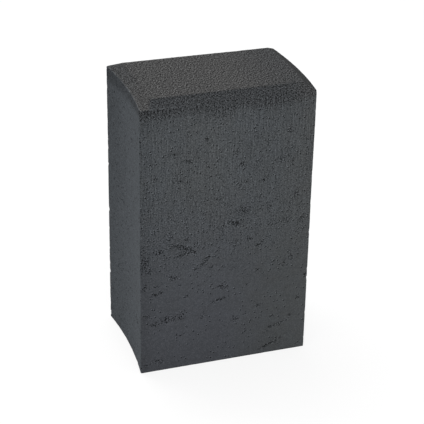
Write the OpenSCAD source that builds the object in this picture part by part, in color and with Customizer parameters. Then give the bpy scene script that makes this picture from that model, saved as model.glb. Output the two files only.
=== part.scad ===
// Concrete palisade: an upright edging block, cast in one piece.
//
// The block stands on its flat base. Its front and back are flat. The left
// side is a shallow hollow (the groove) and the right side is a matching
// shallow bow (the nose), so that blocks set side by side in a row key
// together and can be laid round a curve. A shallow bevel runs all round
// the flat top, and the four upright arrises are slightly rounded.
//
// Frame: millimetres, +Z up. The origin is the middle of the base.
// The front face looks along -Y, the groove is at -X and the nose at +X.

/* [Block] */
// Height, from the base to the flat top
block_h = 300; // [150:10:1000]
// Width of the front face, from the groove's edge to the nose's edge
face_w = 180; // [120:5:500]
// Depth, from the front face to the back face
block_d = 120; // [80:5:250]

/* [Groove and nose] */
// How deep the groove is at its middle
groove_depth = 4; // [2:0.5:12]
// How far the nose stands out at its middle
nose_depth = 4; // [2:0.5:12]

/* [Edges] */
// How far the bevel runs in from the block's sides, seen from above
bevel_run = 12; // [4:0.5:20]
// How far the bevel drops from the flat top
bevel_drop = 6.5; // [2:0.5:15]
// Radius of the four upright arrises
arris_r = 1; // [0.5:0.5:4]

/* [Hidden] */
$fn = 360;

// Colour of the concrete, which is dyed anthracite right through
anthracite = [0.27, 0.29, 0.31];

// Distance of the front and back faces from the middle of the block
half_d = block_d / 2;
// Height of the bevel's lower edge
shoulder_z = block_h - bevel_drop;

// Radius of an arc that rises by rise over a chord of the block's depth
function arc_r(rise) = (half_d * half_d + rise * rise) / (2 * rise);

groove_r = arc_r(groove_depth);
nose_r = arc_r(nose_depth);

// How far an arris's centre lies, along X, from the centre of its side's arc.
// It is dist from that centre, and one arris radius inside the front face.
function arris_offset(dist) = sqrt(dist * dist - pow(half_d - arris_r, 2));

groove_arris_offset = arris_offset(groove_r + arris_r);
nose_arris_offset = arris_offset(nose_r - arris_r);

// How much the rounding takes off the groove's sharp edges, along X
edge_loss = groove_depth - groove_r + groove_arris_offset - arris_r;

// The sharp edges of the groove and of the nose, set so that the finished
// block reaches equally far to both sides of the origin
groove_x = -(face_w + nose_depth + edge_loss) / 2;
nose_x = groove_x + face_w;

// Centres of the two arcs
groove_cx = groove_x + groove_depth - groove_r;
nose_cx = nose_x + nose_depth - nose_r;

// Cutters reach this far past the surfaces that they cut
past = 1;

// Section of the block seen from its side: straight front and back, bevels
module side_section() {
    polygon([
        [-half_d, 0],
        [half_d, 0],
        [half_d, shoulder_z],
        [half_d - bevel_run, block_h],
        [bevel_run - half_d, block_h],
        [-half_d, shoulder_z],
    ]);
}

// Bar of that section, from the groove's edges to just past the nose
module bar() {
    translate([groove_x, 0, 0])
        rotate([90, 0, 90])
            linear_extrude(height = face_w + nose_depth + past)
                side_section();
}

// Round solid that bounds the nose, with the bevel round its top
module nose_round() {
    translate([nose_cx, 0, 0])
        rotate_extrude()
            polygon([
                [0, -past],
                [nose_r, -past],
                [nose_r, shoulder_z],
                [nose_r - bevel_run, block_h],
                [nose_r - bevel_run, block_h + past],
                [0, block_h + past],
            ]);
}

// Round cutter that hollows the groove and flares to cut its bevel
module groove_cutter() {
    flare = bevel_run * (bevel_drop + past) / bevel_drop;
    translate([groove_cx, 0, 0])
        rotate_extrude()
            polygon([
                [0, -past],
                [groove_r, -past],
                [groove_r, shoulder_z],
                [groove_r + flare, block_h + past],
                [0, block_h + past],
            ]);
}

// Cutter that rounds one upright arris of the front. Its centre is at cx,
// and side is the direction from there to the point where it meets the side.
module arris_cutter(cx, side) {
    reach = 2 * arris_r;
    front = [0, -1];
    translate([cx, arris_r - half_d, -past])
        linear_extrude(height = block_h + 2 * past)
            difference() {
                polygon([[0, 0], front * reach, (front + side) * reach, side * reach]);
                circle(r = arris_r);
            }
}

// Both arrises of the front face
module front_arris_cutters() {
    to_mid = half_d - arris_r;
    arris_cutter(groove_cx + groove_arris_offset,
                 [-groove_arris_offset, to_mid] / (groove_r + arris_r));
    arris_cutter(nose_cx + nose_arris_offset,
                 [nose_arris_offset, -to_mid] / (nose_r - arris_r));
}

// The whole block
module palisade_block() {
    color(anthracite)
        difference() {
            intersection() {
                bar();
                nose_round();
            }
            groove_cutter();
            front_arris_cutters();
            mirror([0, 1, 0]) front_arris_cutters();
        }
}

palisade_block();
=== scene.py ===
"""Concrete palisade: an upright edging block of anthracite concrete, cast in one piece.

The block is one mesh. Python lays its skin, an even net of faces on the true outline with eased edges,
and marks on it where the mix tore and how far the struck top reaches down. A Geometry Nodes tree gives the
skin its relief. One concrete material finishes it: matt and finely pored where it lay on the mould, and
open-grained where the top was struck.
"""

import math

import bpy
import numpy as np
from mathutils import Matrix, Vector


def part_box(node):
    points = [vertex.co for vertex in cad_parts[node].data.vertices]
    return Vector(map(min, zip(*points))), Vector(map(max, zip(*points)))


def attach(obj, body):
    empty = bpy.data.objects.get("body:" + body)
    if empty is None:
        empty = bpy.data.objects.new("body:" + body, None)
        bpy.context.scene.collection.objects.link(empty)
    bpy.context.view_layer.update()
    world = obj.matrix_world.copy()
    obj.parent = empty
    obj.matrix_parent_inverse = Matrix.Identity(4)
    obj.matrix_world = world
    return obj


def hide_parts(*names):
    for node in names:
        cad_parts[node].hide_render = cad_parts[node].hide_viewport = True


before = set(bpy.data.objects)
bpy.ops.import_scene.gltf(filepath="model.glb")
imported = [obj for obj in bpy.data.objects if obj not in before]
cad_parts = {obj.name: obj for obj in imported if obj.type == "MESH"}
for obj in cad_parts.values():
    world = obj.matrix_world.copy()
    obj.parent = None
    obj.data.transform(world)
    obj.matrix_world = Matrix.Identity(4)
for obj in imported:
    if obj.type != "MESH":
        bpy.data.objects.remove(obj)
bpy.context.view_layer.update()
block_lo, block_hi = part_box("palisade_block")

MM = 0.001

# ---------------------------------------------------------------- sizes of the block, in metres

groove_depth = 4 * MM
nose_depth = 4 * MM
bevel_run = 12 * MM
bevel_drop = 6.5 * MM
arris_r = 1 * MM

half_d = (block_hi.y - block_lo.y) / 2
top_z = block_hi.z
shoulder_z = top_z - bevel_drop


def arc_radius(rise):
    """Radius of an arc that rises by rise over a chord as long as the block is deep."""
    return (half_d ** 2 + rise ** 2) / (2 * rise)


groove_r = arc_radius(groove_depth)
nose_r = arc_radius(nose_depth)
# The rounded arris takes this much off the groove's sharp edge
arris_reach = math.sqrt((groove_r + arris_r) ** 2 - (half_d - arris_r) ** 2)
edge_loss = groove_depth - groove_r - arris_r + arris_reach
groove_cx = block_lo.x - edge_loss + groove_depth - groove_r
nose_cx = block_hi.x - nose_r

# ---------------------------------------------------------------- small helpers


def linear(hex_colour):
    """An sRGB hex colour as linear RGBA."""
    channels = [int(hex_colour[i:i + 2], 16) / 255 for i in (1, 3, 5)]
    return [c / 12.92 if c <= 0.04045 else ((c + 0.055) / 1.055) ** 2.4 for c in channels] + [1.0]


def add(tree, kind, inputs=None, **settings):
    """Adds a node. inputs gives each socket, by name or number, a value or the output that feeds it."""
    made = tree.nodes.new(kind)
    for name, value in settings.items():
        setattr(made, name, value)
    for key, value in (inputs or {}).items():
        socket = made.inputs[key]
        if isinstance(key, str):
            socket = next(s for s in made.inputs if s.name == key and s.enabled)
        if isinstance(value, bpy.types.Node):
            value = next(output for output in value.outputs if output.enabled)
        if isinstance(value, bpy.types.NodeSocket):
            tree.links.new(value, socket)
        else:
            socket.default_value = value
    return made


# ---------------------------------------------------------------- the skin of the block

# How many faces the net has along the front and along the side, and how high one is
across_front = 118
across_side = 78
row_step = 1.55 * MM
# Places of the net's first lines from an arris, in arris radii
arris_lines = np.array([0, 0.4, 0.8, 1.3])
# An eased edge has a point at least this often, in degrees of its turn
ease_angle = 18
# Radii of the eased edges: round the base, at the bevel's foot and at its top
base_ease = 0.8 * MM
shoulder_ease = 1.2 * MM
rim_ease = 1.2 * MM
# The net's rings run this far in under the base and over the flat top
base_lap = 3 * MM
top_lap = 3 * MM


def run_up(points, end, step):
    """Adds even points, about a step apart, from the last one to end."""
    start = points[-1].copy()
    count = max(1, round((end - start).length / step))
    points += [start.lerp(end, k / count) for k in range(1, count + 1)]


def eased(corners, radii, step):
    """Points along a line of corners, with each inner corner turned into an arc."""
    corners = [Vector(corner) for corner in corners]
    points = [corners[0]]
    for before, corner, after, r in zip(corners, corners[1:], corners[2:], radii):
        back, on = (before - corner).normalized(), (after - corner).normalized()
        turn = math.pi - back.angle(on)
        reach = r * math.tan(turn / 2)
        start, end = corner + back * reach, corner + on * reach
        centre = corner + (back + on).normalized() * (r / math.cos(turn / 2))
        run_up(points, start, step)
        steps = max(2, round(turn / math.radians(ease_angle)))
        for k in range(1, steps + 1):
            arm = (start - centre).lerp(end - centre, k / steps).normalized()
            points.append(centre + arm * r)
    run_up(points, corners[-1], step)
    return points


def shares(count, length):
    """count + 1 places from 0 to 1 along an edge of that length, set closer over the rounded arrises."""
    close = arris_lines * arris_r / length
    between = np.linspace(close[-1], 1 - close[-1], count - 2 * len(close) + 3)
    return np.concatenate([close[:-1], between, 1 - close[-2::-1]])


front_shares = shares(across_front, block_hi.x - block_lo.x)
side_shares = shares(across_side, 2 * half_d)


def groove_x(y, inset):
    """Where the groove's side lies, that far inside its own surface."""
    return groove_cx + np.sqrt((groove_r + inset) ** 2 - y ** 2)


def nose_x(y, inset):
    """Where the nose's side lies, that far inside its own surface."""
    return nose_cx + np.sqrt((nose_r - inset) ** 2 - y ** 2)


def rounded(points, inset):
    """Turns the sharp corners of an outline, which lies that far inside the block's own, into arrises."""
    fillet_y = half_d - inset - arris_r
    groove_reach, nose_reach = groove_r + inset + arris_r, nose_r - inset - arris_r
    groove_fillet_x = groove_cx + math.sqrt(groove_reach ** 2 - fillet_y ** 2)
    nose_fillet_x = nose_cx + math.sqrt(nose_reach ** 2 - fillet_y ** 2)
    for side, fillet_x, tangent_y in (
        (-1, groove_fillet_x, fillet_y * (1 - arris_r / groove_reach)),
        (1, nose_fillet_x, fillet_y * (1 + arris_r / nose_reach)),
    ):
        centres = np.column_stack([np.full(len(points), fillet_x), np.sign(points[:, 1]) * fillet_y])
        arms = points - centres
        length = np.linalg.norm(arms, axis=1)
        past_face = side * (points[:, 0] - fillet_x) > 0
        past_side = np.abs(points[:, 1]) > min(tangent_y, fillet_y)
        at_corner = past_face & past_side & (length > arris_r)
        points[at_corner] = centres[at_corner] + arms[at_corner] / length[at_corner, None] * arris_r
    return points


def ring(inset):
    """A line that far inside the block's outline, as points that run round from the front left arris."""
    edge_y = half_d - inset
    left, right = groove_x(edge_y, inset), nose_x(edge_y, inset)
    front_x = left + (right - left) * front_shares[:-1]
    back_x = right + (left - right) * front_shares[:-1]
    side_y = edge_y * (2 * side_shares[:-1] - 1)
    runs = [
        (front_x, np.full_like(front_x, -edge_y)),
        (nose_x(side_y, inset), side_y),
        (back_x, np.full_like(back_x, edge_y)),
        (groove_x(side_y, inset), -side_y),
    ]
    return rounded(np.concatenate([np.column_stack(run) for run in runs]), inset)


def skin():
    """The block's closed net: rings from under the base up to the bevel's top, then a grid on the flat."""
    profile = eased(
        [(base_lap, 0), (0, 0), (0, shoulder_z), (bevel_run, top_z), (bevel_run + top_lap, top_z)],
        [base_ease, shoulder_ease, rim_ease],
        row_step,
    )
    size = 2 * (across_front + across_side)
    points = np.concatenate([np.column_stack([ring(inset), np.full(size, z)]) for inset, z in profile])
    starts = size * np.arange(len(profile) - 1)[:, None]
    here, ahead = starts + np.arange(size), starts + np.roll(np.arange(size), -1)
    sides = np.stack([here, ahead, ahead + size, here + size], axis=-1).reshape(-1, 4)

    # The grid on the flat top takes its rim from the last ring
    inset = profile[-1][0]
    y = (half_d - inset) * (2 * side_shares - 1)
    left, right = groove_x(y, inset)[:, None], nose_x(y, inset)[:, None]
    flat = np.stack(np.broadcast_arrays(left + (right - left) * front_shares, y[:, None], top_z), axis=-1)
    inner = flat[1:-1, 1:-1].reshape(-1, 3)
    rim = size * (len(profile) - 1) + np.arange(size)
    grid = np.zeros((across_side + 1, across_front + 1), int)
    grid[1:-1, 1:-1] = len(points) + np.arange(len(inner)).reshape(across_side - 1, -1)
    front_end, nose_end, back_end = np.cumsum([across_front, across_side, across_front])
    grid[0, :-1] = rim[:front_end]
    grid[:-1, -1] = rim[front_end:nose_end]
    grid[-1, :0:-1] = rim[nose_end:back_end]
    grid[:0:-1, 0] = rim[back_end:]
    top = np.stack([grid[:-1, :-1], grid[:-1, 1:], grid[1:, 1:], grid[1:, :-1]], axis=-1).reshape(-1, 4)

    points = np.concatenate([points, inner])
    base = list(range(size - 1, -1, -1))
    mesh = bpy.data.meshes.new("palisade_skin")
    mesh.from_pydata(points.tolist(), [], sides.tolist() + top.tolist() + [base])
    mesh.shade_smooth()
    return mesh, points


# ---------------------------------------------------------------- marks on the skin

# Tears in the front face, where the stiff mix dragged on the mould as it was drawn. Each is its place
# from the left edge, its height over the base, length, rise in degrees, thickness and depth (0 to 1).
front_tears = [
    (67, 256, 7, 15, 4, 0.6), (34, 244, 18, 0, 4, 0.4), (48, 235, 9, -20, 4, 0.65),
    (15, 220, 8, 20, 4, 0.45), (41, 215, 12, 10, 6, 0.35), (99, 239, 7, -60, 5, 0.55),
    (105, 224, 8, -35, 4, 0.75), (132, 246, 9, 0, 2, 0.35), (153, 254, 8, 0, 3, 0.5),
    (109, 206, 3.5, 0, 3, 0.7), (128, 204, 5, -20, 4, 0.7), (146, 226, 16, 0, 5, 0.4),
    (158, 222, 7, 40, 4, 0.4), (80, 189, 10, -10, 4, 0.5), (164, 183, 6, -50, 5, 0.65),
    (135, 174, 9, -50, 5, 0.55), (108, 173, 22, 0, 14, 0.3), (53, 197, 6, 60, 4, 0.5),
    (91, 160, 12, 35, 5, 1.0), (101, 159, 10, -35, 6, 1.0), (148, 157, 16, 15, 2, 0.45),
    (154, 153, 6, 30, 5, 0.5), (170, 155, 5, 10, 4, 0.65), (1, 143, 9, 70, 5, 0.85),
    (48, 150, 10, 30, 4, 0.55), (36, 144, 13, -12, 5, 0.7), (49, 138, 15, -20, 7, 0.75),
    (56, 133, 6, -30, 4, 0.7), (20, 139, 9, 5, 5, 0.8), (41, 132, 8, 15, 4, 0.55),
    (100, 139, 5, 0, 4, 0.6), (114, 140, 6, 10, 4, 0.6), (126, 132, 10, 20, 3.5, 1.0),
    (69, 123, 10, 40, 4, 0.95),
    (75, 114, 5, 0, 4, 0.7), (58, 114, 10, 15, 3, 0.5), (35, 108, 11, 5, 5, 0.7),
    (4, 101, 8, 30, 5, 0.65), (17, 100, 6, 0, 4, 0.5), (16, 91, 14, 18, 2.5, 0.7),
    (160, 113, 7, -50, 3.5, 0.65), (152, 105, 6, 60, 3.5, 0.65), (124, 103, 6, -40, 4, 0.6),
    (98, 109, 4, 0, 3, 0.5), (87, 89, 9, -8, 5, 0.85), (113, 87, 4, 0, 3, 0.6),
    (83, 74, 18, 14, 3, 0.75), (48, 84, 4, 0, 3, 0.6), (7, 67, 8, -30, 4, 0.6),
    (13, 56, 8, 15, 4, 0.6), (27, 60, 13, 5, 9, 0.6), (43, 62, 13, 15, 9, 0.65),
    (66, 58, 7, 80, 4, 0.6), (126, 60, 9, 20, 4, 0.6), (101, 48, 8, 30, 6, 0.65),
    (112, 52, 4, 0, 3, 0.5), (170, 62, 6, 45, 4, 0.6), (142, 44, 6, 0, 4, 0.4),
    (147, 33, 19, 17, 3, 0.9), (162, 42, 4, 0, 3, 0.6), (142, 11, 22, 24, 3.2, 0.9),
    (19, 11, 11, -10, 5, 0.8), (5, 9, 5, 0, 3, 0.5), (177, 90, 7, 70, 4, 0.7),
    (42, 39, 4, 0, 3, 0.5), (5, 129, 24, 85, 9, 0.4), (9, 118, 8, 30, 4, 0.5),
]
# How far out a tear's mark reaches, in half lengths and half thicknesses
tear_reach = 2.2
# Widths over which tears are scattered, in millimetres
front_width = 180
side_width = 120

# Marks of the front, as pairs of a place and the value there. The place is the height over the base or the
# distance from the front's left edge, in millimetres. How far down the struck grain's band reaches, in
# millimetres:
band_by_width = [
    (0, 11), (12, 13), (40, 10), (62, 12), (80, 17), (100, 11), (140, 12), (165, 8), (180, 4),
]
# How much paler or darker the front is, as shares of its colour:
tone_by_height = [
    (60, -0.04), (120, -0.03), (150, -0.025), (200, 0.03), (265, 0.07), (275, 0.035), (290, -0.02),
]
tone_by_width = [(0, -0.15), (6, -0.1), (14, -0.01), (60, 0.055), (95, 0.045), (125, -0.02), (180, 0.01)]
# How blue it is, high up and low down, and how violet:
blue_above_by_width = [
    (10, 0.55), (50, 0.35), (70, 0.25), (90, 0.35), (120, 0.5), (150, 0.35), (175, 0.05),
]
blue_below_by_width = [(10, 0.7), (90, 0.65), (120, 0.3), (175, 0.1)]
violet_by_width = [(85, 0.5), (145, 0)]
# How much paler or darker the groove is, from the front (-1) to the back (1), as painted shade that darkens
# it
# to the back, where its hollow turns away from the lamps:
groove_shade_by_depth = [(-1, 0.05), (-0.25, 0.03), (0.25, -0.06), (1, -0.18)]


def along_table(places, table):
    """The table's value at each place, evenly between its pairs."""
    return np.interp(places, *zip(*table))


def ramp(value, start, end):
    """0 up to start and 1 from end on, evenly between them. End may lie below start."""
    return np.clip((value - start) / (end - start), 0, 1)


def scattered_tears(seed, count, width):
    """Tears of the same kinds, at places of their own, for a face that isn't the front."""
    rng = np.random.default_rng(seed)
    return [
        (rng.uniform(0, width), rng.uniform(4, 250), rng.uniform(4, 17), rng.normal(8, 25),
         rng.uniform(2.5, 6), rng.uniform(0.4, 1))
        for _ in range(count)
    ]


def inward(points):
    """How far in each point lies from the groove, from the nose, and from the nearer of front and back."""
    from_groove = points[:, 0] - groove_x(points[:, 1], 0)
    from_nose = nose_x(points[:, 1], 0) - points[:, 0]
    return np.maximum(from_groove, 0), np.maximum(from_nose, 0), half_d - np.abs(points[:, 1])


def tear_marks(points):
    """Each point's place in its nearest tear: along it, across it, and how near and deep it is.

    The first two are in half lengths and half thicknesses of the tear.
    """
    from_groove, from_nose, _ = inward(points)
    along_front = (points[:, 0] - block_lo.x) / MM
    along_side = (points[:, 1] + half_d) / MM
    up = points[:, 2] / MM
    nearest = np.full(len(points), tear_reach)
    marks = np.zeros((len(points), 3))
    for on_face, along, tears in (
        (points[:, 1] < -half_d + arris_r, along_front, front_tears),
        (points[:, 1] > half_d - arris_r, along_front, scattered_tears(seed=5, count=58, width=front_width)),
        (from_groove < arris_r, along_side, scattered_tears(seed=8, count=5, width=side_width)),
        (from_nose < arris_r, along_side, scattered_tears(seed=11, count=8, width=side_width)),
    ):
        for place, height, length, rise, thick, depth in tears:
            turn = math.radians(rise)
            dx, dz = along - place, up - height
            lengthways = (dx * math.cos(turn) + dz * math.sin(turn)) / (length / 2)
            crossways = (dz * math.cos(turn) - dx * math.sin(turn)) / (thick / 2)
            away = np.hypot(lengthways, crossways)
            nearness = depth * np.clip(tear_reach - away, 0, 1)
            closer = on_face & (away < nearest)
            nearest[closer] = away[closer]
            marks[closer] = np.column_stack([lengthways, crossways, nearness])[closer]
    return marks


# How far in from an arris, or from the base's edge, chips reach
chip_reach = 5 * MM


def edge_marks(points):
    """1 on an arris or on the base's edge, and 0 from the chips' reach on."""
    from_groove, from_nose, from_face = inward(points)
    from_side = np.minimum(from_groove, from_nose)
    to_base = points[:, 2] + np.minimum(from_side, from_face)
    return np.clip(1 - np.minimum(np.hypot(from_side, from_face), to_base) / chip_reach, 0, 1)


def bevel_marks(points):
    """How much painted shade darkens the top: 1 on the bevel, less on the groove's side. It stands for the
    shade of the front's and nose's bevels, which turn away from the lamps, and the back's bevel is painted
    the same.

    Along the front's and back's bevel the dark starts past the groove's mitre: 9 mm past it at the bevel's
    foot and at the mitre itself at its top. It eases off towards the nose.
    """
    from_groove, from_nose, from_face = inward(points)
    risen = (points[:, 2] - shoulder_z) / bevel_drop
    along = (points[:, 0] - block_lo.x) / MM
    inside = np.clip((bevel_run - np.minimum(from_nose, from_face)) / (0.8 * MM), 0, 1)
    off_mitre = from_groove - np.clip(points[:, 2] - shoulder_z, 0, None) * bevel_run / bevel_drop
    past_mitre = np.clip((off_mitre - 9 * MM * (1 - risen)) / (1.5 * MM), 0, 1)
    to_back = np.clip(0.6 + points[:, 1] / half_d, 0, 1)
    on_groove_side = 0.5 * to_back * np.clip((bevel_run - from_groove) / (2 * MM), 0, 1)
    right_end = 0.5 * ramp(along, 110, 160)
    dark = inside * np.where(risen > 0, past_mitre, 1) * (1 - 0.5 * ramp(along, 150, 170))
    return np.maximum(dark, np.maximum(on_groove_side, right_end))


def band_marks(points):
    """How many millimetres the struck grain reaches down from the shoulder."""
    along = (points[:, 0] - block_lo.x) / MM
    front = along_table(along, band_by_width)
    # The back's band is 10 mm high and waves by 3 mm
    back = 10 + 3 * np.sin(along / 19)
    from_groove, from_nose, from_face = inward(points)
    on_side = np.minimum(from_groove, from_nose) < from_face
    return np.where(on_side, 0, np.where(points[:, 1] < 0, front, back))


def tone_marks(points):
    """Slow changes of tone, as a share of the colour, some of them painted light and shade."""
    from_groove, from_nose, from_face = inward(points)
    along = (points[:, 0] - block_lo.x) / MM
    up = points[:, 2] / MM
    under = (shoulder_z - points[:, 2]) / MM
    deep = points[:, 1] / half_d
    by_height = along_table(up, tone_by_height)
    by_width = along_table(along, tone_by_width)
    low_right = 0.07 * ramp(along, 90, 120) * ramp(up, 215, 155)
    # Painted shade makes the groove darker to the back, where its hollow turns away from the lamps. It is
    # palest about 130 mm up, and darkest in a band under its top edge: 10 mm high at the front and 17 mm at
    # the back, fading over 6 mm.
    groove_painted_shade = along_table(deep, groove_shade_by_depth)
    under_edge_band = np.clip((13.5 + 3.5 * deep - under) / 6, 0, 1)
    middle = 0.065 * np.exp(-((up - 130) / 60) ** 2)
    groove_tone = (1 + groove_painted_shade + middle) * (1 - (0.36 - 0.06 * deep) * under_edge_band) - 1
    nose_tone = 0.3 * by_height - 0.04
    on_groove = from_groove < np.minimum(from_nose, from_face)
    on_nose = from_nose < np.minimum(from_groove, from_face)
    # Painted shade: the front is darker just under the shoulder, at its left end
    shade_under_corner = -0.15 * ramp(under, 9, 4) * ramp(along, 34, 14)
    # At its left end the shoulder's rounded edge has a painted highlight, a pale line, and painted shade
    # just under it
    left_end = ramp(along, 64, 30)
    foot_highlight = 0.5 * left_end * np.clip(1 - np.abs(under) / 1.1, 0, 1)
    under_foot_shade = -0.25 * left_end * np.clip(1 - np.abs(under - 2) / 1.6, 0, 1)
    front_tone = by_height + by_width + low_right + shade_under_corner + foot_highlight + under_foot_shade
    upright_tone = np.where(on_groove, groove_tone, np.where(on_nose, nose_tone, front_tone))
    # Painted shade makes the bevel darker, most of all on the nose's side, which turns away from the lamps.
    # It is also darker in a line along its inner edge at front and back. The groove's edge, which faces the
    # lamps, is painted pale as painted light
    at_nose = np.clip((bevel_run - from_nose) / (2 * MM), 0, 1)
    at_nose *= np.clip((from_face - from_nose) / MM, 0, 1)
    at_groove = np.clip(1 - from_groove / (3 * MM), 0, 1)
    under_rim = np.clip(1 - np.abs(bevel_run - 1.6 * MM - from_face) / (1.6 * MM), 0, 1)
    under_rim *= np.clip((from_nose - from_face) / MM, 0, 1)
    under_rim *= np.clip((from_groove - from_face) / MM, 0, 1)
    top_tone = (
        -0.17 * bevel_marks(points) - 0.38 * at_nose + 0.06 * at_groove + foot_highlight - 0.13 * under_rim
    )
    return np.where(points[:, 2] > shoulder_z, top_tone, upright_tone)


def hue_marks(points):
    """How blue each point is, and how violet, as shares between 0 and 1."""
    along = (points[:, 0] - block_lo.x) / MM
    up = points[:, 2] / MM
    blue_above = along_table(along, blue_above_by_width)
    blue_below = along_table(along, blue_below_by_width)
    blue = blue_below + (blue_above - blue_below) * ramp(up, 60, 200)
    violet = along_table(along, violet_by_width) * ramp(up, 210, 50)
    return blue, violet


# ---------------------------------------------------------------- the relief, as Geometry Nodes

relief = {
    "Waviness mm": 0.15,
    "Lump height mm": 0.06,
    "Struck grain height mm": 0.12,
    "Tear depth mm": 0.45,
    "Chip depth mm": 0.9,
    "Shoulder height mm": shoulder_z / MM,
    "Seed": 3.0,
}


def relief_tree(finish):
    """A tree that moves the skin along its normals, and stores where it is struck."""
    tree = bpy.data.node_groups.new("cast_concrete_relief", "GeometryNodeTree")
    interface = tree.interface
    interface.new_socket("Geometry", in_out="INPUT", socket_type="NodeSocketGeometry")
    for name in relief:
        interface.new_socket(name, in_out="INPUT", socket_type="NodeSocketFloat")
    interface.new_socket("Geometry", in_out="OUTPUT", socket_type="NodeSocketGeometry")
    given = add(tree, "NodeGroupInput").outputs

    place = add(tree, "ShaderNodeVectorMath", {0: add(tree, "GeometryNodeInputPosition"), "Scale": 1 / MM},
                operation="SCALE")
    height_up = add(tree, "ShaderNodeSeparateXYZ", {0: place}).outputs["Z"]
    mark = {
        name: add(tree, "GeometryNodeInputNamedAttribute", {"Name": name}, data_type="FLOAT")
        for name in ("edge", "band")
    }
    tear = add(tree, "GeometryNodeInputNamedAttribute", {"Name": "tear"}, data_type="FLOAT_VECTOR")
    mark["tear"] = add(tree, "ShaderNodeSeparateXYZ", {0: tear}).outputs["Z"]

    # Each noise swings between -1 and 1 over lumps of its own size in millimetres
    noise = {}
    drawn_out = add(tree, "ShaderNodeVectorMath", {0: place, 1: (1, 1, 0.4)}, operation="MULTIPLY")
    for name, vector, size, detail, roughness in (
        ("wave", place, 75, 1, 0.4), ("lump", place, 13, 3, 0.55), ("grain", place, 3.6, 2, 0.6),
        ("fringe", drawn_out, 6, 3, 0.6), ("chip", place, 6, 3, 0.6), ("tear", place, 4.5, 3, 0.65),
    ):
        plain = add(tree, "ShaderNodeTexNoise", {
            "Vector": vector, "W": given["Seed"], "Scale": 1 / size,
            "Detail": detail, "Roughness": roughness,
        }, noise_dimensions="4D")
        noise[name] = add(tree, "ShaderNodeMapRange", {
            "Value": plain, "From Min": 0.25, "From Max": 0.75, "To Min": -1, "To Max": 1,
        }, clamp=False)

    # Struck: above the band's foot, with an uneven soft fringe where there is a band, and crisp elsewhere
    over_shoulder = add(tree, "ShaderNodeMath", {0: height_up, 1: given["Shoulder height mm"]},
                        operation="SUBTRACT")
    over_band = add(tree, "ShaderNodeMath", {0: over_shoulder, 1: mark["band"]}, operation="ADD")
    fringe = add(tree, "ShaderNodeMath", {0: mark["band"], 1: 0.5, 2: 0.4}, operation="MULTIPLY_ADD")
    in_fringes = add(tree, "ShaderNodeMath", {0: over_band, 1: fringe}, operation="DIVIDE")
    uneven = add(tree, "ShaderNodeMath", {0: noise["fringe"], 1: 0.8, 2: in_fringes},
                 operation="MULTIPLY_ADD")
    struck = add(tree, "ShaderNodeMapRange", {"Value": uneven, "From Min": -0.8, "From Max": 1},
                 interpolation_type="SMOOTHSTEP")

    # Torn and chipped: where a mark and the noise are high together
    torn_sum = add(tree, "ShaderNodeMath", {0: noise["tear"], 1: 0.45, 2: mark["tear"]},
                   operation="MULTIPLY_ADD")
    torn = add(tree, "ShaderNodeMapRange", {"Value": torn_sum, "From Min": 0.35, "From Max": 0.95},
               interpolation_type="SMOOTHSTEP")
    chip_sum = add(tree, "ShaderNodeMath", {0: noise["chip"], 1: 0.8, 2: mark["edge"]},
                   operation="MULTIPLY_ADD")
    chipped = add(tree, "ShaderNodeMapRange", {"Value": chip_sum, "From Min": 0.95, "From Max": 1.5},
                  interpolation_type="SMOOTHSTEP")
    struck_grain = add(tree, "ShaderNodeMath", {0: noise["grain"], 1: struck}, operation="MULTIPLY")
    sunk_tear = add(tree, "ShaderNodeMath", {0: torn, 1: -1.0}, operation="MULTIPLY")
    sunk_chip = add(tree, "ShaderNodeMath", {0: chipped, 1: -1.0}, operation="MULTIPLY")

    lift = 0.0
    for pattern, size in (
        (noise["wave"], "Waviness mm"), (noise["lump"], "Lump height mm"), (sunk_tear, "Tear depth mm"),
        (sunk_chip, "Chip depth mm"), (struck_grain, "Struck grain height mm"),
    ):
        lift = add(tree, "ShaderNodeMath", {0: pattern, 1: given[size], 2: lift}, operation="MULTIPLY_ADD")
    # The base stays level: the relief fades out over its last millimetre
    metres = add(tree, "ShaderNodeMapRange", {"Value": height_up, "From Max": 1.0, "To Max": MM})
    lift = add(tree, "ShaderNodeMath", {0: lift, 1: metres}, operation="MULTIPLY")
    offset = add(tree, "ShaderNodeVectorMath", {0: add(tree, "GeometryNodeInputNormal"), "Scale": lift},
                 operation="SCALE")

    marked = add(tree, "GeometryNodeStoreNamedAttribute", {
        "Geometry": given["Geometry"], "Name": "struck", "Value": struck,
    }, data_type="FLOAT", domain="POINT")
    moved = add(tree, "GeometryNodeSetPosition", {"Geometry": marked, "Offset": offset})
    real = add(tree, "GeometryNodeRealizeInstances", {"Geometry": moved})
    finished = add(tree, "GeometryNodeSetMaterial", {"Geometry": real, "Material": finish})
    add(tree, "NodeGroupOutput", {"Geometry": finished})
    return tree


# ---------------------------------------------------------------- the concrete

# Sizes of the concrete's patterns, in millimetres. Its sand is really finer, from 0.2 to 1 mm, and its pits
# and specks are mostly under 1 mm. They are drawn at about 1 mm and up, so that they still show.
cast_grain_size = 0.9
open_grain_size = 1.0
# From a grain to the one beside it, and to the one above on the bevel and, further, on the flat top. Over
# these steps the struck grains get their painted lit and shaded sides.
beside_step = 1.1
above_step = 1.15
above_step_on_top = 2.15
dash_length = 10
pit_spacing = 3
pit_radius = 0.8
glint_radius = 0.6
# A pit's painted glint lies this far from its pit, the other way
glint_shift = (0.7, 0, -0.9)
speck_spacing = 2.0
# The shades are drawn evenly between 0 and 1 and raised to this power, so that few grains are pale
shade_power = 1.8


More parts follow.
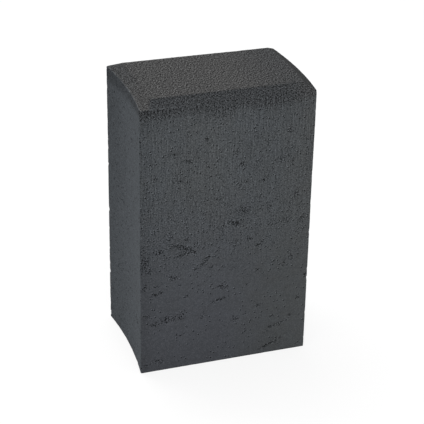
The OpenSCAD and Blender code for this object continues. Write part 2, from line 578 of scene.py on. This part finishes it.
def anthracite_concrete():
    """Earth-moist concrete, coloured anthracite right through, pressed in a steel mould and drawn at once.

    The eye gets a dull blue-grey stone with no gloss, made of sand grains that each have their own shade.
    The mould leaves the faces close and even, with pinholes, faint upright drag lines and dark ragged
    tears. The struck top is open and gritty.
    """
    made = bpy.data.materials.new("anthracite_concrete_cast")
    made.use_nodes = True
    tree = made.node_tree
    tree.nodes.clear()

    texture_place = add(tree, "ShaderNodeTexCoord")
    place = add(tree, "ShaderNodeVectorMath", {0: texture_place.outputs["Object"], "Scale": 1 / MM},
                operation="SCALE")
    xyz = add(tree, "ShaderNodeSeparateXYZ", {0: place})
    facing = add(tree, "ShaderNodeSeparateXYZ", {0: texture_place.outputs["Normal"]})
    mark = {
        name: add(tree, "ShaderNodeAttribute", attribute_name=name).outputs["Fac"]
        for name in ("struck", "bevel", "tone", "blue", "violet")
    }
    tear = add(tree, "ShaderNodeAttribute", attribute_name="tear").outputs["Vector"]
    tear_near = add(tree, "ShaderNodeSeparateXYZ", {0: tear}).outputs["Z"]
    tear_place = add(tree, "ShaderNodeVectorMath", {0: tear, 1: (1, 1, 0)}, operation="MULTIPLY")
    tear_away = add(tree, "ShaderNodeVectorMath", {0: tear_place}, operation="LENGTH").outputs["Value"]

    # Noises that swing between -1 and 1, by the width of their lumps in millimetres
    noise = {}
    long_drawn = add(tree, "ShaderNodeVectorMath", {0: place, 1: (1, 1, 0.05)}, operation="MULTIPLY")
    drawn = add(tree, "ShaderNodeVectorMath", {0: place, 1: (1, 1, 1 / dash_length)}, operation="MULTIPLY")
    slanted = add(tree, "ShaderNodeVectorRotate", {"Vector": place, "Angle": math.radians(32)},
                  rotation_type="Y_AXIS")
    slanted = add(tree, "ShaderNodeVectorMath", {0: slanted, 1: (0.6, 1, 1.1)}, operation="MULTIPLY")
    for name, vector, size, detail, roughness in (
        ("cloud", place, 60, 2, 0.5), ("patch", place, 16, 3, 0.6), ("ragged", slanted, 1.0, 1, 0.5),
        ("drag", long_drawn, 1.4, 1, 0.5),
    ):
        plain = add(tree, "ShaderNodeTexNoise", {
            "Vector": vector, "Scale": 1 / size, "Detail": detail, "Roughness": roughness,
        })
        noise[name] = add(tree, "ShaderNodeMapRange", {
            "Value": plain, "From Min": 0.3, "From Max": 0.7, "To Min": -1, "To Max": 1,
        }, clamp=False)

    # Sand grains, each with a shade of its own. In the struck top the shades of the grains beside and above
    # come off each, so that pale and dark ones lie side by side and make no patches: this is partly painted
    # light and shade, a lit side and a shaded side drawn on each grain. The mould dragged some into upright
    # dashes. Each cell's colour only seeds its draw, because the colour itself goes with the cell's place.
    level = add(tree, "ShaderNodeMapRange", {
        "Value": facing.outputs["Z"], "From Min": 0.9, "From Max": 0.97,
    })
    up_face = add(tree, "ShaderNodeVectorMath", {0: texture_place.outputs["Normal"], 1: (1, 0, 0)},
                  operation="CROSS_PRODUCT")
    reach_up = add(tree, "ShaderNodeMath", {
        0: level, 1: above_step_on_top - above_step, 2: above_step,
    }, operation="MULTIPLY_ADD")
    above = add(tree, "ShaderNodeVectorMath", {0: up_face, "Scale": reach_up}, operation="SCALE")
    grain = {}
    here = (0, 0, 0)
    beside = (beside_step, 0, 0)
    for name, vector, size, parts, middle in (
        ("cast", place, cast_grain_size, ((here, "Green", 2.0),), 0.71),
        ("struck", place, open_grain_size, (
            (here, "Green", 1.25), (beside, "Green", -1.25), (here, "Red", 1.25), (above, "Red", -1.25),
        ), 0.0),
        ("dragged", drawn, open_grain_size, ((here, "Green", 2.0), (beside, "Green", -2.0)), 0.0),
    ):
        grain[name] = -middle
        for step, channel, share in parts:
            there = add(tree, "ShaderNodeVectorMath", {0: vector, 1: step}, operation="ADD")
            cells = add(tree, "ShaderNodeTexVoronoi", {"Vector": there, "Scale": 1 / size})
            draw = add(tree, "ShaderNodeTexWhiteNoise", {"Vector": cells.outputs["Color"]})
            draw = add(tree, "ShaderNodeSeparateColor", {0: draw.outputs["Color"]})
            draw = add(tree, "ShaderNodeMath", {0: draw.outputs[channel], 1: shade_power},
                       operation="POWER")
            grain[name] = add(tree, "ShaderNodeMath", {0: draw, 1: share, 2: grain[name]},
                              operation="MULTIPLY_ADD")

    # The upper part of the front and back took more of the mould's drag than the rest. Upper and high run
    # from 0 to 1 up the block, between uneven heights, broad is 1 on the front and back and 0 on the sides,
    # and roughened is upper and broad together.
    dragged = add(tree, "ShaderNodeMath", {0: noise["patch"], 1: 18.0, 2: xyz.outputs["Z"]},
                  operation="MULTIPLY_ADD")
    upper = add(tree, "ShaderNodeMapRange", {"Value": dragged, "From Min": 70, "From Max": 170},
                interpolation_type="SMOOTHSTEP")
    broad = add(tree, "ShaderNodeMath", {0: facing.outputs["Y"]}, operation="ABSOLUTE")
    broad = add(tree, "ShaderNodeMapRange", {"Value": broad, "From Min": 0.6, "From Max": 0.9})
    roughened = add(tree, "ShaderNodeMath", {0: upper, 1: broad}, operation="MULTIPLY")
    high = add(tree, "ShaderNodeMapRange", {"Value": dragged, "From Min": 130, "From Max": 240})

    # Tears are short slanting rips, close along the middle line and fewer to the rims, with pale grit
    # between them
    in_tear = add(tree, "ShaderNodeMath", {0: tear_away, 1: -0.6, 2: 0.36}, operation="MULTIPLY_ADD")
    in_tear = add(tree, "ShaderNodeMath", {0: tear_near, 1: 0.4, 2: in_tear}, operation="MULTIPLY_ADD")
    in_tear = add(tree, "ShaderNodeMath", {0: noise["ragged"], 1: 0.9, 2: in_tear},
                  operation="MULTIPLY_ADD")
    in_tear = add(tree, "ShaderNodeMapRange", {"Value": in_tear, "From Min": 0.35, "From Max": 0.7})
    near_tear = add(tree, "ShaderNodeMapRange", {"Value": tear_near, "From Max": 0.2})
    torn = add(tree, "ShaderNodeMath", {0: in_tear, 1: near_tear}, operation="MULTIPLY")
    grit = add(tree, "ShaderNodeMapRange", {"Value": noise["ragged"], "From Min": -0.4, "From Max": -0.9})
    grit = add(tree, "ShaderNodeMath", {0: grit, 1: tear_near}, operation="MULTIPLY")

    # Pits: one to a cell, in about a third of the cells, and in more of them where the mould dragged and
    # round the tears. A pale spot lies beside each, over it and to one side: a painted glint, light painted
    # on the pit's rim, raised a little in the bump too. The pits are a quarter wider on the smooth sides.
    share = add(tree, "ShaderNodeMath", {0: roughened, 1: 0.16, 2: 0.31}, operation="MULTIPLY_ADD")
    share = add(tree, "ShaderNodeMath", {0: noise["patch"], 1: 0.12, 2: share}, operation="MULTIPLY_ADD")
    share = add(tree, "ShaderNodeMath", {0: tear_near, 1: 0.3, 2: share}, operation="MULTIPLY_ADD")
    from_draw = add(tree, "ShaderNodeMath", {0: 1.0, 1: share}, operation="SUBTRACT")
    growth = add(tree, "ShaderNodeMath", {0: broad, 1: -0.25, 2: 1.25}, operation="MULTIPLY_ADD")
    pits = {}
    for name, shift, radius in (("pit", here, pit_radius), ("pit_glint", glint_shift, glint_radius)):
        moved = add(tree, "ShaderNodeVectorMath", {0: place, 1: shift}, operation="ADD")
        nearest = add(tree, "ShaderNodeTexVoronoi", {"Vector": moved, "Scale": 1 / pit_spacing})
        draw = add(tree, "ShaderNodeTexWhiteNoise", {"Vector": nearest.outputs["Color"]})
        past = add(tree, "ShaderNodeMath", {0: draw, 1: from_draw}, operation="SUBTRACT")
        reach = add(tree, "ShaderNodeMath", {0: growth, 1: radius / pit_spacing}, operation="MULTIPLY")
        size = add(tree, "ShaderNodeMapRange", {"Value": past, "From Max": 0.15, "To Max": reach})
        inside = add(tree, "ShaderNodeMath", {0: size, 1: nearest.outputs["Distance"]},
                     operation="SUBTRACT")
        pits[name] = add(tree, "ShaderNodeMapRange", {"Value": inside, "From Min": 0.0, "From Max": 0.06})
    # The painted glints are faint on the smooth sides
    paleness = add(tree, "ShaderNodeMath", {0: broad, 1: 0.7, 2: 0.3}, operation="MULTIPLY_ADD")
    pit_glint = add(tree, "ShaderNodeMath", {0: pits["pit_glint"], 1: paleness}, operation="MULTIPLY")

    # Specks: where the mould dragged, a hole or a pale grain to each cell, most of them faint
    cells = add(tree, "ShaderNodeTexVoronoi", {"Vector": place, "Scale": 1 / speck_spacing})
    draw = add(tree, "ShaderNodeTexWhiteNoise", {"Vector": cells.outputs["Color"]})
    tone = add(tree, "ShaderNodeMath", {0: draw, 1: 2.0, 2: -1.08}, operation="MULTIPLY_ADD")
    tone = add(tree, "ShaderNodeMath", {0: tone, 1: 3.0}, operation="POWER")
    inside = add(tree, "ShaderNodeMapRange", {
        "Value": cells.outputs["Distance"], "From Min": 0.34, "From Max": 0.28,
    })
    speck = add(tree, "ShaderNodeMath", {0: inside, 1: roughened}, operation="MULTIPLY")
    speck = add(tree, "ShaderNodeMath", {0: speck, 1: tone}, operation="MULTIPLY")

    # How strongly the grains differ: a little on the moulded faces, with open grain added where the mould
    # dragged, and most in the struck top
    contrast = add(tree, "ShaderNodeMath", {0: broad, 1: -0.12, 2: 0.32}, operation="MULTIPLY_ADD")
    cast_grain = add(tree, "ShaderNodeMath", {0: grain["cast"], 1: contrast}, operation="MULTIPLY")
    coarser = add(tree, "ShaderNodeMath", {0: grain["struck"], 1: roughened}, operation="MULTIPLY")
    coarse_amount = add(tree, "ShaderNodeMath", {0: high, 1: -0.05, 2: 0.35}, operation="MULTIPLY_ADD")
    cast_grain = add(tree, "ShaderNodeMath", {0: coarser, 1: coarse_amount, 2: cast_grain},
                     operation="MULTIPLY_ADD")
    opened = add(tree, "ShaderNodeMath", {0: mark["bevel"], 1: -0.3, 2: 0.4}, operation="MULTIPLY_ADD")
    sideways = add(tree, "ShaderNodeMapRange", {
        "Value": facing.outputs["X"], "From Min": -0.4, "From Max": 0.4, "To Min": 1.2, "To Max": 0.4,
    })
    struck_contrast = add(tree, "ShaderNodeMath", {0: level, 1: opened, 2: sideways},
                          operation="MULTIPLY_ADD")
    struck_grain = add(tree, "ShaderNodeMath", {0: grain["struck"], 1: struck_contrast},
                       operation="MULTIPLY")
    grains = add(tree, "ShaderNodeMix", {"Factor": mark["struck"], "A": cast_grain, "B": struck_grain})

    # The shade, round 1. The marks of the moulded faces come first, and the struck top has none of them.
    shade = 1.0
    for pattern, amount in (
        (noise["cloud"], 0.03), (noise["patch"], 0.025), (pits["pit"], -0.95), (pit_glint, 1.35),
        (torn, -0.8), (grit, 0.75), (speck, 0.9),
    ):
        shade = add(tree, "ShaderNodeMath", {0: pattern, 1: amount, 2: shade}, operation="MULTIPLY_ADD")
    shade = add(tree, "ShaderNodeMix", {"Factor": mark["struck"], "A": shade, "B": 1.0})
    # Streaks where the mould dragged, strongest high up and in the band under the shoulder
    drag_amount = add(tree, "ShaderNodeMath", {0: high, 1: 0.05, 2: 0.05}, operation="MULTIPLY_ADD")
    drag_amount = add(tree, "ShaderNodeMath", {0: mark["struck"], 1: 0.08, 2: drag_amount},
                      operation="MULTIPLY_ADD")
    streak = add(tree, "ShaderNodeMath", {0: grain["dragged"], 1: 1.4, 2: noise["drag"]},
                 operation="MULTIPLY_ADD")
    streak = add(tree, "ShaderNodeMath", {0: streak, 1: drag_amount}, operation="MULTIPLY")
    shade = add(tree, "ShaderNodeMath", {0: streak, 1: roughened, 2: shade}, operation="MULTIPLY_ADD")
    shade = add(tree, "ShaderNodeMath", {0: shade, 1: mark["tone"]}, operation="ADD")
    shade = add(tree, "ShaderNodeMath", {0: shade, 1: grains}, operation="ADD")
    shade = add(tree, "ShaderNodeMath", {0: shade, 1: 0.12}, operation="MAXIMUM")

    # Colour: grey, blue and violet in clouds on the faces; neutral on top, and dark on the bevel as painted
    # shade
    blue = add(tree, "ShaderNodeMath", {0: noise["patch"], 1: 0.15, 2: mark["blue"]},
               operation="MULTIPLY_ADD")
    face_tint = add(tree, "ShaderNodeMix", {
        "Factor": blue, "A": linear("#47494a"), "B": linear("#45494d"),
    }, data_type="RGBA")
    face_tint = add(tree, "ShaderNodeMix", {
        "Factor": mark["violet"], "A": face_tint, "B": linear("#48494f"),
    }, data_type="RGBA")
    cast_tint = add(tree, "ShaderNodeMix", {"Factor": broad, "A": linear("#4b4f53"), "B": face_tint},
                    data_type="RGBA")
    struck_tint = add(tree, "ShaderNodeMix", {
        "Factor": mark["bevel"], "A": linear("#434343"), "B": linear("#3c3e40"),
    }, data_type="RGBA")
    tint = add(tree, "ShaderNodeMix", {"Factor": mark["struck"], "A": cast_tint, "B": struck_tint},
               data_type="RGBA")
    colour = add(tree, "ShaderNodeVectorMath", {0: tint, "Scale": shade}, operation="SCALE")

    # Height of the fine relief in millimetres
    height = add(tree, "ShaderNodeMath", {0: grains, 1: 0.04}, operation="MULTIPLY")
    for pattern, amount in ((pits["pit"], -0.3), (pit_glint, 0.1), (torn, -0.3), (grit, 0.1)):
        height = add(tree, "ShaderNodeMath", {0: pattern, 1: amount, 2: height}, operation="MULTIPLY_ADD")
    bump = add(tree, "ShaderNodeBump", {"Height": height, "Distance": MM, "Strength": 1.0})

    surface = add(tree, "ShaderNodeBsdfPrincipled", {
        "Base Color": colour, "Roughness": 0.95, "IOR": 1.5, "Specular IOR Level": 0.1, "Normal": bump,
    })
    add(tree, "ShaderNodeOutputMaterial", {"Surface": surface})
    return made


# ---------------------------------------------------------------- the block


def palisade():
    """The finished block: its skin with the relief made real, and the concrete on it."""
    finish = anthracite_concrete()
    mesh, points = skin()
    for name, marks in (
        ("edge", edge_marks), ("bevel", bevel_marks), ("band", band_marks), ("tone", tone_marks),
    ):
        values = marks(points).astype(np.float32)
        mesh.attributes.new(name, "FLOAT", "POINT").data.foreach_set("value", values)
    for name, values in zip(("blue", "violet"), hue_marks(points)):
        mesh.attributes.new(name, "FLOAT", "POINT").data.foreach_set("value", values.astype(np.float32))
    places = tear_marks(points).astype(np.float32)
    mesh.attributes.new("tear", "FLOAT_VECTOR", "POINT").data.foreach_set("vector", places.ravel())
    block = bpy.data.objects.new("palisade_concrete", mesh)
    bpy.context.scene.collection.objects.link(block)

    tree = relief_tree(finish)
    modifier = block.modifiers.new("relief", "NODES")
    modifier.node_group = tree
    for item in tree.interface.items_tree:
        if item.in_out == "INPUT" and item.name in relief:
            modifier[item.identifier] = relief[item.name]
    evaluated = block.evaluated_get(bpy.context.evaluated_depsgraph_get())
    block.data = bpy.data.meshes.new_from_object(evaluated)
    block.modifiers.remove(modifier)
    return block


# ---------------------------------------------------------------- floor, light and camera


def seen_rays(tree):
    """1 for the rays that see the surroundings: the camera's, and mirrored or refracted ones."""
    path = add(tree, "ShaderNodeLightPath")
    seen = add(tree, "ShaderNodeMath", {0: path.outputs["Is Camera Ray"], 1: path.outputs["Is Glossy Ray"]},
               operation="MAXIMUM")
    return add(tree, "ShaderNodeMath", {0: seen, 1: path.outputs["Is Transmission Ray"]},
               operation="MAXIMUM")


def studio_floor():
    """A plain pale floor that looks white and keeps a light shadow."""
    half = 6.0
    mesh = bpy.data.meshes.new("studio_floor")
    corners = [(-half, -half, 0), (half, -half, 0), (half, half, 0), (-half, half, 0)]
    mesh.from_pydata(corners, [], [(0, 1, 2, 3)])
    floor = bpy.data.objects.new("studio_floor", mesh)
    bpy.context.scene.collection.objects.link(floor)

    paint = bpy.data.materials.new("matt_white_floor_paint")
    paint.use_nodes = True
    tree = paint.node_tree
    tree.nodes.clear()
    # To what sees the surroundings, three quarters of the floor glow white, so that its shadow looks light
    matt = add(tree, "ShaderNodeBsdfDiffuse", {"Color": linear("#eeeeee")})
    glow = add(tree, "ShaderNodeEmission", {"Color": (1, 1, 1, 1), "Strength": 1.08})
    lifted = add(tree, "ShaderNodeMixShader", {0: 0.75, 1: matt, 2: glow})
    surface = add(tree, "ShaderNodeMixShader", {0: seen_rays(tree), 1: matt, 2: lifted})
    add(tree, "ShaderNodeOutputMaterial", {"Surface": surface})
    mesh.materials.append(paint)
    return floor


def studio_world():
    """Even grey-white light from all round, behind a white background."""
    world = bpy.data.worlds.new("studio")
    bpy.context.scene.world = world
    world.use_nodes = True
    tree = world.node_tree
    tree.nodes.clear()
    strength = add(tree, "ShaderNodeMapRange", {"Value": seen_rays(tree), "To Min": 0.6, "To Max": 1.0})
    light = add(tree, "ShaderNodeBackground", {"Color": (1, 1, 1, 1), "Strength": strength})
    add(tree, "ShaderNodeOutputWorld", {"Surface": light})


def soft_lamp(name, direction, distance, size, watts):
    """A square lamp that far from the middle of the block, turned to face it."""
    lamp = bpy.data.lights.new(name, "AREA")
    lamp.shape = "SQUARE"
    lamp.size = size
    lamp.energy = watts
    placed = bpy.data.objects.new(name, lamp)
    towards = Vector(direction).normalized()
    middle = (block_lo + block_hi) / 2
    turned = towards.to_track_quat("Z", "Y").to_matrix().to_4x4()
    placed.matrix_world = Matrix.Translation(middle + towards * distance) @ turned
    bpy.context.scene.collection.objects.link(placed)


def studio_camera():
    """A long lens that looks down on the front and the groove side from the left."""
    lens = bpy.data.cameras.new("camera")
    lens.sensor_width = 36
    lens.lens = 121.95
    lens.clip_start = 0.01
    camera = bpy.data.objects.new("camera", lens)
    # It is turned to the right, dipped below level and rolled, in degrees
    heading = Matrix.Rotation(math.radians(-19.16), 4, "Z")
    dip = Matrix.Rotation(math.radians(90 - 27.19), 4, "X")
    roll = Matrix.Rotation(math.radians(1.10), 4, "Z")
    stand = Matrix.Translation((-0.4325, -1.2532, 0.8253))
    camera.matrix_world = stand @ heading @ dip @ roll
    bpy.context.scene.collection.objects.link(camera)
    bpy.context.scene.camera = camera


# ---------------------------------------------------------------- the scene

bpy.context.scene.view_settings.view_transform = "Standard"
studio_camera()
studio_world()
soft_lamp("high_lamp", direction=(-0.15, 0.42, 0.88), distance=2.2, size=1.2, watts=20)
soft_lamp("front_lamp", direction=(-0.1, -0.8, 0.6), distance=2.2, size=1.2, watts=16)

block = palisade()
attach(block, "root")
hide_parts("palisade_block")
studio_floor()
